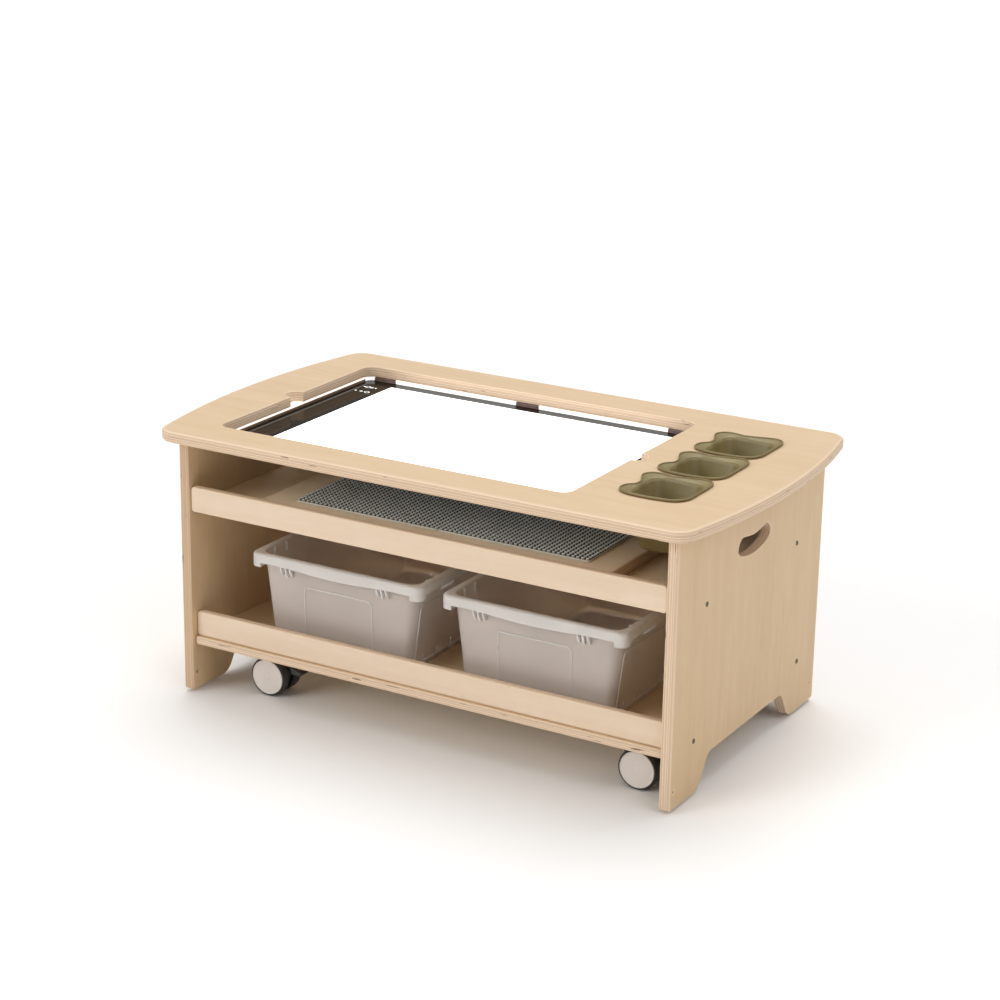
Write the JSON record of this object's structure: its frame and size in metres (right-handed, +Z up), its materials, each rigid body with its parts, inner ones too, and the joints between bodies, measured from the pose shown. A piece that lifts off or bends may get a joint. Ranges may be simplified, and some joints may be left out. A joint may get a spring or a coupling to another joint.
{
  "type": "children's activity table with light panel",
  "caption": "Low plywood activity table on casters with an illuminated panel set in the top, hanging cups, a stored stud board and translucent storage bins on a railed shelf.",
  "frame": {"origin": "on the floor, under the middle of the tabletop", "axes": "+X along the length towards the cups, +Y to the back, +Z up"},
  "size_m": [0.9656, 0.564, 0.443],
  "materials": {
    "plywood": "clear lacquered birch plywood, laminated edges",
    "white_plastic": "satin white",
    "light_surface": "opal acrylic, lit from within",
    "black_gloss": "gloss black",
    "dark_plastic": "satin charcoal",
    "olive_plastic": "satin olive",
    "frosted_plastic": "frosted translucent",
    "grey_plastic": "semi-gloss grey",
    "wheel_grey": "warm grey hub discs in a dark soft tread",
    "steel": "zinc plated"
  },
  "bodies": {
    "frame": {"tabletop": "plywood", "side_panel_left": "plywood", "side_panel_right": "plywood", "upper_shelf": "plywood", "lower_shelf": "plywood", "upper_rail_front": "plywood", "upper_rail_back": "plywood", "lower_rail_front": "plywood", "lower_rail_back": "plywood", "shelf_cleat_left": "plywood", "shelf_cleat_right": "plywood", "light_tray": "white_plastic", "light_trim": "white_plastic", "light_housing": "dark_plastic", "light_diffuser": "light_surface", "light_bezel": "black_gloss", "panel_clip_left": "black_gloss", "panel_clip_middle": "black_gloss", "panel_clip_right": "black_gloss", "power_inlet": "dark_plastic", "screw_left_upper_front": "steel", "screw_left_upper_back": "steel", "screw_left_lower_front": "steel", "screw_left_lower_back": "steel", "screw_right_upper_front": "steel", "screw_right_upper_back": "steel", "screw_right_lower_front": "steel", "screw_right_lower_back": "steel", "caster_plate_front_left": "steel", "caster_plate_front_right": "steel", "caster_plate_back_left": "steel", "caster_plate_back_right": "steel"},
    "insert_board": {"insert_board": "plywood", "brick_plate_left": "grey_plastic", "brick_plate_right": "grey_plastic"},
    "cup_front": {"cup_front": "olive_plastic"},
    "cup_middle": {"cup_middle": "olive_plastic"},
    "cup_back": {"cup_back": "olive_plastic"},
    "bin_left": {"bin_left": "frosted_plastic"},
    "bin_right": {"bin_right": "frosted_plastic"},
    "caster_front_left": {"caster_hood_front_left": "dark_plastic", "caster_axle_front_left": "steel"},
    "wheel_outer_front_left": {"wheel_outer_front_left": "wheel_grey"},
    "wheel_inner_front_left": {"wheel_inner_front_left": "wheel_grey"},
    "brake_pedal_front_left": {"brake_pedal_front_left": "dark_plastic"},
    "caster_front_right": {"caster_hood_front_right": "dark_plastic", "caster_axle_front_right": "steel"},
    "wheel_outer_front_right": {"wheel_outer_front_right": "wheel_grey"},
    "wheel_inner_front_right": {"wheel_inner_front_right": "wheel_grey"},
    "brake_pedal_front_right": {"brake_pedal_front_right": "dark_plastic"},
    "caster_back_left": {"caster_hood_back_left": "dark_plastic", "caster_axle_back_left": "steel"},
    "wheel_outer_back_left": {"wheel_outer_back_left": "wheel_grey"},
    "wheel_inner_back_left": {"wheel_inner_back_left": "wheel_grey"},
    "brake_pedal_back_left": {"brake_pedal_back_left": "dark_plastic"},
    "caster_back_right": {"caster_hood_back_right": "dark_plastic", "caster_axle_back_right": "steel"},
    "wheel_outer_back_right": {"wheel_outer_back_right": "wheel_grey"},
    "wheel_inner_back_right": {"wheel_inner_back_right": "wheel_grey"},
    "brake_pedal_back_right": {"brake_pedal_back_right": "dark_plastic"}
  },
  "joints": [
    {"name": "insert_board_lift", "type": "slide", "parent": "frame", "child": "insert_board", "axis": [0, 0, 1], "range_m": [0, 0.032]},
    {"name": "cup_front_lift", "type": "slide", "parent": "frame", "child": "cup_front", "axis": [0, 0, 1], "range_m": [0, 0.095]},
    {"name": "cup_middle_lift", "type": "slide", "parent": "frame", "child": "cup_middle", "axis": [0, 0, 1], "range_m": [0, 0.095]},
    {"name": "cup_back_lift", "type": "slide", "parent": "frame", "child": "cup_back", "axis": [0, 0, 1], "range_m": [0, 0.095]},
    {"name": "bin_left_lift", "type": "slide", "parent": "frame", "child": "bin_left", "axis": [0, 0, 1], "range_m": [0, 0.05]},
    {"name": "bin_right_lift", "type": "slide", "parent": "frame", "child": "bin_right", "axis": [0, 0, 1], "range_m": [0, 0.05]},
    {"name": "swivel_front_left", "type": "hinge", "parent": "frame", "child": "caster_front_left", "pos_m": [-0.329, -0.175, 0.07], "axis": [0, 0, 1], "continuous": true},
    {"name": "wheel_outer_front_left_spin", "type": "hinge", "parent": "caster_front_left", "child": "wheel_outer_front_left", "pos_m": [-0.308, -0.175, 0.032], "axis": [0, 1, 0], "continuous": true},
    {"name": "wheel_inner_front_left_spin", "type": "hinge", "parent": "caster_front_left", "child": "wheel_inner_front_left", "pos_m": [-0.308, -0.175, 0.032], "axis": [0, 1, 0], "continuous": true},
    {"name": "brake_pedal_front_left_press", "type": "hinge", "parent": "caster_front_left", "child": "brake_pedal_front_left", "pos_m": [-0.284, -0.175, 0.052], "axis": [0, 1, 0], "range_deg": [0, 10]},
    {"name": "swivel_front_right", "type": "hinge", "parent": "frame", "child": "caster_front_right", "pos_m": [0.329, -0.175, 0.07], "axis": [0, 0, 1], "continuous": true},
    {"name": "wheel_outer_front_right_spin", "type": "hinge", "parent": "caster_front_right", "child": "wheel_outer_front_right", "pos_m": [0.35, -0.175, 0.032], "axis": [0, 1, 0], "continuous": true},
    {"name": "wheel_inner_front_right_spin", "type": "hinge", "parent": "caster_front_right", "child": "wheel_inner_front_right", "pos_m": [0.35, -0.175, 0.032], "axis": [0, 1, 0], "continuous": true},
    {"name": "brake_pedal_front_right_press", "type": "hinge", "parent": "caster_front_right", "child": "brake_pedal_front_right", "pos_m": [0.374, -0.175, 0.052], "axis": [0, 1, 0], "range_deg": [0, 10]},
    {"name": "swivel_back_left", "type": "hinge", "parent": "frame", "child": "caster_back_left", "pos_m": [-0.329, 0.175, 0.07], "axis": [0, 0, 1], "continuous": true},
    {"name": "wheel_outer_back_left_spin", "type": "hinge", "parent": "caster_back_left", "child": "wheel_outer_back_left", "pos_m": [-0.308, 0.175, 0.032], "axis": [0, 1, 0], "continuous": true},
    {"name": "wheel_inner_back_left_spin", "type": "hinge", "parent": "caster_back_left", "child": "wheel_inner_back_left", "pos_m": [-0.308, 0.175, 0.032], "axis": [0, 1, 0], "continuous": true},
    {"name": "brake_pedal_back_left_press", "type": "hinge", "parent": "caster_back_left", "child": "brake_pedal_back_left", "pos_m": [-0.284, 0.175, 0.052], "axis": [0, 1, 0], "range_deg": [0, 10]},
    {"name": "swivel_back_right", "type": "hinge", "parent": "frame", "child": "caster_back_right", "pos_m": [0.329, 0.175, 0.07], "axis": [0, 0, 1], "continuous": true},
    {"name": "wheel_outer_back_right_spin", "type": "hinge", "parent": "caster_back_right", "child": "wheel_outer_back_right", "pos_m": [0.35, 0.175, 0.032], "axis": [0, 1, 0], "continuous": true},
    {"name": "wheel_inner_back_right_spin", "type": "hinge", "parent": "caster_back_right", "child": "wheel_inner_back_right", "pos_m": [0.35, 0.175, 0.032], "axis": [0, 1, 0], "continuous": true},
    {"name": "brake_pedal_back_right_press", "type": "hinge", "parent": "caster_back_right", "child": "brake_pedal_back_right", "pos_m": [0.374, 0.175, 0.052], "axis": [0, 1, 0], "range_deg": [0, 10]}
  ]
}
